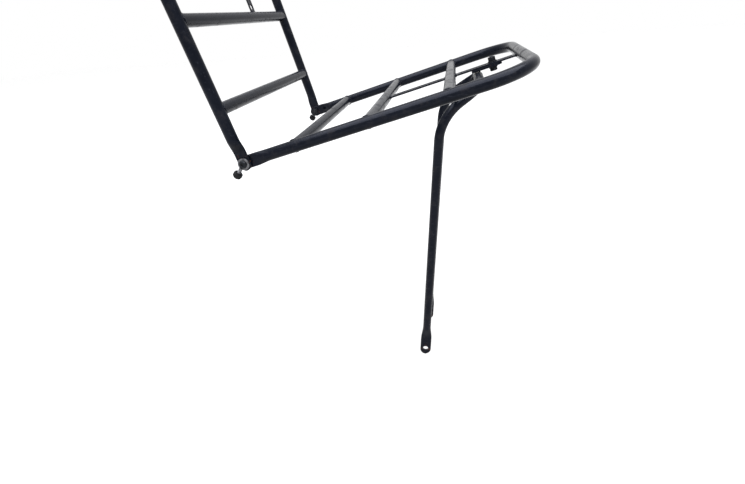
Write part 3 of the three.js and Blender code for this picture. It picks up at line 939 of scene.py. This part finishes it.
def saddle(middle, half_length, along, side, steps=180):
    """The line where a coped bar meets its tube, set just outside both of them."""
    up = along.cross(Y_AXIS).normalized()
    points = []
    for k in range(steps):
        angle = 2 * math.pi * k / steps
        lean = SADDLE_FOLLOW * TUBE_R * math.sin(angle)
        reach = half_length - math.sqrt(TUBE_R**2 - lean**2)
        round_part = along * math.cos(angle) + up * math.sin(angle)
        points.append(middle + round_part * TUBE_R + Y_AXIS * side * reach)
    return points


def straight(start, end, steps=40):
    """Points along a straight line."""
    return [start.lerp(end, i / steps) for i in range(steps + 1)]


def joined(name, meshes):
    """Several meshes as one."""
    work = bmesh.new()
    for mesh in meshes:
        work.from_mesh(mesh)
        bpy.data.meshes.remove(mesh)
    whole = bpy.data.meshes.new(name)
    work.to_mesh(whole)
    work.free()
    return whole


def bar_welds(name, middle, half_length, along, seed):
    """The welds at both ends of a coped bar."""
    beads = []
    for k, side in enumerate(SIDES):
        line = saddle(middle, half_length, along, side)
        beads.append(bead(f"{name}_{k}", line, BAR_BEAD_R, True, seed + k))
    return joined(name, beads)


def strip_welds(name, ends, width, seed):
    """Short beads across a flat piece. Each end is a point on its middle line, off the tube."""
    half = Y_AXIS * (width / 2 - 1 * MM)
    beads = []
    for k, at in enumerate(ends):
        line = straight(at - half, at + half)
        beads.append(bead(f"{name}_{k}", line, STRIP_BEAD_R, False, seed + k))
    return joined(name, beads)


def add_bar(node, body, middle, half_length, along, seed):
    """A coped cross tube and the welds at its ends."""
    add_piece(coped_bar(node + "_tube", middle, half_length, along), body, "black_paint", node)
    add_piece(bar_welds(node + "_welds", middle, half_length, along, seed), body, "black_paint")


# Each group of welds has seeds of its own for its random draws.
SLAT_SEED = 0
STRIP_SEED = 50
BACK_BAR_SEED = 90
HEAD_STRAP_SEED = 130
TAB_SEED = 150
WELD_START = TUBE_R + WELD_GAP

# ---------------------------------------------------------------- the platform
add_piece(
    hoop("platform_tube", on_platform, ALONG, RAIL_Y, PLATFORM_LENGTH, RAIL_LUG_Y),
    "platform", "black_paint", "platform_hoop", BENT_SHARP,
)
for number, (node, count) in enumerate(SLATS.items()):
    seed = SLAT_SEED + SEED_STEP * number
    add_bar(node, "platform", on_platform(slat_s(count), 0), RAIL_Y, ALONG, seed)

for number, (node, start, end) in enumerate((
    ("centre_strip_rear", slat_s(2), slat_s(1)),
    ("centre_strip_front", slat_s(1), PLATFORM_LENGTH),
)):
    add_piece(slotted_strip(node + "_plate", start, end), "platform", "black_paint", node)
    strip_ends = [
        on_platform(s, 0, side * STRIP_THICK / 2)
        for s in (start + WELD_START, end - WELD_START) for side in SIDES
    ]
    welds = strip_welds(node + "_welds", strip_ends, STRIP_WIDTH, STRIP_SEED + SEED_STEP * number)
    add_piece(welds, "platform", "black_paint")

# ---------------------------------------------------------------- the backrest
add_piece(
    hoop("backrest_tube", on_backrest, UPRIGHT, UPRIGHT_Y, BACK_HEIGHT, UPRIGHT_LUG_Y),
    "backrest", "black_paint", "backrest_hoop", BENT_SHARP,
)
for number, (node, v) in enumerate(BACK_BARS.items()):
    seed = BACK_BAR_SEED + SEED_STEP * number
    add_bar(node, "backrest", on_backrest(v, 0), UPRIGHT_Y, UPRIGHT, seed)

add_piece(head_strap_mesh(), "backrest", "black_paint", "head_strap")
strap_ends = [
    on_backrest(v, HEAD_STRAP_Y, side * HEAD_STRAP_THICK / 2)
    for v in (UPPER_BAR + WELD_START, BACK_HEIGHT - WELD_START) for side in SIDES
]
strap_welds = strip_welds("head_strap_welds", strap_ends, HEAD_STRAP_WIDTH, HEAD_STRAP_SEED)
add_piece(strap_welds, "backrest", "black_paint")

# ---------------------------------------------------------------- the stay
add_piece(stay_mesh(), "stay", "black_paint", "stay_hoop", BENT_SHARP)
add_piece(stay_tab_mesh(), "stay", "black_paint", "stay_tab")
tab_ends = [
    on_platform(CROSSBAR_S + side * TAB_WELD_APART, 0, TAB_BOTTOM - TAB_WELD_DROP) for side in SIDES
]
tab_welds = strip_welds("stay_tab_welds", tab_ends, STRIP_WIDTH, TAB_SEED)
add_piece(tab_welds, "stay", "black_paint")


# ---------------------------------------------------------------- the stay's clamp
def add_clamp():
    """The bolt, two washers and nut that hold the stay's tab under the slotted strip."""
    def at(h):
        return on_platform(CLAMP_S, 0, h)

    lower_washer = TAB_BOTTOM - GAP - WASHER
    head_start = lower_washer - GAP - BOLT_HEAD
    upper_washer = STRIP_THICK / 2 + GAP
    nut_start = upper_washer + WASHER + GAP
    length = nut_start + NUT + THREAD_PROUD - head_start - BOLT_HEAD

    bolt = hex_bolt_mesh("clamp_screw", at(head_start), NORMAL, length)
    add_piece(bolt, "stay", "black_zinc", "clamp_bolt", FASTENER_SHARP)
    for level, height in (("lower", lower_washer), ("upper", upper_washer)):
        ring = washer_mesh(f"clamp_ring_{level}", at(height), NORMAL)
        add_piece(ring, "stay", "black_zinc", f"clamp_washer_{level}", FASTENER_SHARP)
    nut = nut_mesh("clamp_hexagon", at(nut_start), NORMAL)
    add_piece(nut, "stay", "black_zinc", "clamp_nut", FASTENER_SHARP)


add_clamp()


# ---------------------------------------------------------------- the corners
def add_corner(label, side):
    """One corner's bolt, washer and nut, and the lashing stud that hangs from it."""
    inward = Vector((0, -side, 0))
    eye_middle = UPRIGHT_LUG_Y + LUG / 2 + GAP + STUD_EYE / 2
    head_outside = eye_middle + STUD_EYE / 2 + GAP + BUTTON_HEAD
    washer_outside = RAIL_LUG_Y - LUG / 2 - GAP
    nut_outside = washer_outside - WASHER - GAP
    shank = head_outside - BUTTON_HEAD - (nut_outside - NUT - THREAD_PROUD)

    def at(y):
        return on_platform(0, side * y)

    bolt = button_bolt_mesh(f"corner_screw_{label}", at(head_outside), inward, shank)
    add_piece(bolt, "platform", "black_zinc", f"corner_bolt_{label}", FASTENER_SHARP)
    ring = washer_mesh(f"corner_ring_{label}", at(washer_outside), inward)
    add_piece(ring, "platform", "black_zinc", f"corner_washer_{label}", FASTENER_SHARP)
    nut = nut_mesh(f"corner_hexagon_{label}", at(nut_outside), inward)
    add_piece(nut, "platform", "black_zinc", f"corner_nut_{label}", FASTENER_SHARP)
    shank_centre = at(eye_middle - STUD_EYE / 2 + STUD_R)
    stud = stud_mesh(f"lashing_eye_{label}", at(eye_middle), shank_centre, -inward)
    add_piece(stud, "platform", "zinc", f"lashing_stud_{label}", KNOB_SHARP)
    knob_place = shank_centre + STUD_DIRECTION * STUD_REACH
    knob = knob_mesh(f"lashing_cap_{label}", knob_place, STUD_DIRECTION)
    add_piece(knob, "platform", "black_plastic", f"lashing_knob_{label}", KNOB_SHARP)


add_corner("left", 1)
add_corner("right", -1)

# ---------------------------------------------------------------- the studio
# The floor pales from near to far, by distance from its middle, so that it fades into the world. Its
# grey middle, under the carrier, is painted shade, like a soft shadow.
FLOOR_Z = -0.35
FLOOR_REACH = 14.0
FLOOR_NEAR, FLOOR_FAR = 0.3, 4.2
# The near colour is painted shade under the carrier.
FLOOR_NEAR_SHADE_COLOUR = (0.370, 0.362, 0.346)
FLOOR_FAR_COLOUR = (0.99, 0.99, 0.99)
FLOOR_ROUGHNESS = 0.9
FLOOR_SPECULAR = 0.1

LIGHT_PLACE = Vector((0.1, -0.7, 3.0))
LIGHT_TARGET = Vector((0.0, 0.0, 0.35))
LIGHT_SIZE = (4.4, 3.8)
LIGHT_RADIANCE = 7.0
LIGHT_COLOUR = (0.93, 0.95, 1.0)


def add_floor():
    """A wide floor, grey with painted shade near its middle and pale further out."""
    mesh = bpy.data.meshes.new("floor")
    around = ((-1, -1), (1, -1), (1, 1), (-1, 1))
    verts = [(x * FLOOR_REACH, y * FLOOR_REACH, FLOOR_Z) for x, y in around]
    mesh.from_pydata(verts, [], [(0, 1, 2, 3)])
    material, shade, place = shader("floor")
    link = material.node_tree.links.new
    distance = material.node_tree.nodes.new("ShaderNodeVectorMath")
    distance.operation = "LENGTH"
    link(place, distance.inputs[0])
    # Grey near the middle is painted shade under the carrier, fading to pale far out.
    further = remap(material, distance.outputs["Value"], FLOOR_NEAR, FLOOR_FAR)
    colour = mixed(material, further, FLOOR_NEAR_SHADE_COLOUR, FLOOR_FAR_COLOUR)
    link(colour, shade.inputs["Base Color"])
    shade.inputs["Roughness"].default_value = FLOOR_ROUGHNESS
    shade.inputs["Specular IOR Level"].default_value = FLOOR_SPECULAR
    mesh.materials.append(material)
    floor = bpy.data.objects.new("floor", mesh)
    bpy.context.scene.collection.objects.link(floor)


def add_light():
    """A large soft light overhead. Its power follows from its area."""
    light = bpy.data.lights.new("sky_light", "AREA")
    light.shape = "RECTANGLE"
    light.size, light.size_y = LIGHT_SIZE
    light.energy = LIGHT_RADIANCE * math.pi * light.size * light.size_y
    light.color = LIGHT_COLOUR
    lamp = bpy.data.objects.new("sky_light", light)
    lamp.location = LIGHT_PLACE
    lamp.rotation_mode = "QUATERNION"
    lamp.rotation_quaternion = (LIGHT_TARGET - LIGHT_PLACE).to_track_quat("-Z", "Y")
    lamp.visible_camera = False
    bpy.context.scene.collection.objects.link(lamp)


def add_world():
    """A plain white world."""
    world = bpy.data.worlds.new("studio")
    world.use_nodes = True
    background = world.node_tree.nodes["Background"]
    background.inputs["Color"].default_value = (1.0, 1.0, 1.0, 1)
    background.inputs["Strength"].default_value = 1.0
    bpy.context.scene.world = world


add_floor()
add_light()
add_world()
bpy.context.scene.view_settings.view_transform = "Standard"

# ---------------------------------------------------------------- the camera
CAMERA_PLACE = Vector((0.04988, -0.70553, 0.56743))
CAMERA_HEADING = math.radians(11.72)  # to the left of +Y
CAMERA_DOWN = math.radians(27.2)
CAMERA_ROLL = math.radians(-4.89)
CAMERA_LENS = 21.25  # millimetres
CAMERA_SENSOR = 36  # millimetres across
CAMERA_CLIP = 0.01


def add_camera():
    """The camera beside and above the carrier, tipped a little about its own axis."""
    ahead = Vector((
        -math.sin(CAMERA_HEADING) * math.cos(CAMERA_DOWN),
        math.cos(CAMERA_HEADING) * math.cos(CAMERA_DOWN),
        -math.sin(CAMERA_DOWN),
    ))
    level = Vector((math.cos(CAMERA_HEADING), math.sin(CAMERA_HEADING), 0))
    right = level * math.cos(CAMERA_ROLL) + level.cross(ahead) * math.sin(CAMERA_ROLL)
    up = right.cross(ahead)
    data = bpy.data.cameras.new("camera")
    data.sensor_width = CAMERA_SENSOR
    data.lens = CAMERA_LENS
    data.clip_start = CAMERA_CLIP
    camera = bpy.data.objects.new("camera", data)
    camera.matrix_world = laid_out(right, up, -ahead, CAMERA_PLACE)
    bpy.context.scene.collection.objects.link(camera)
    bpy.context.scene.camera = camera


add_camera()
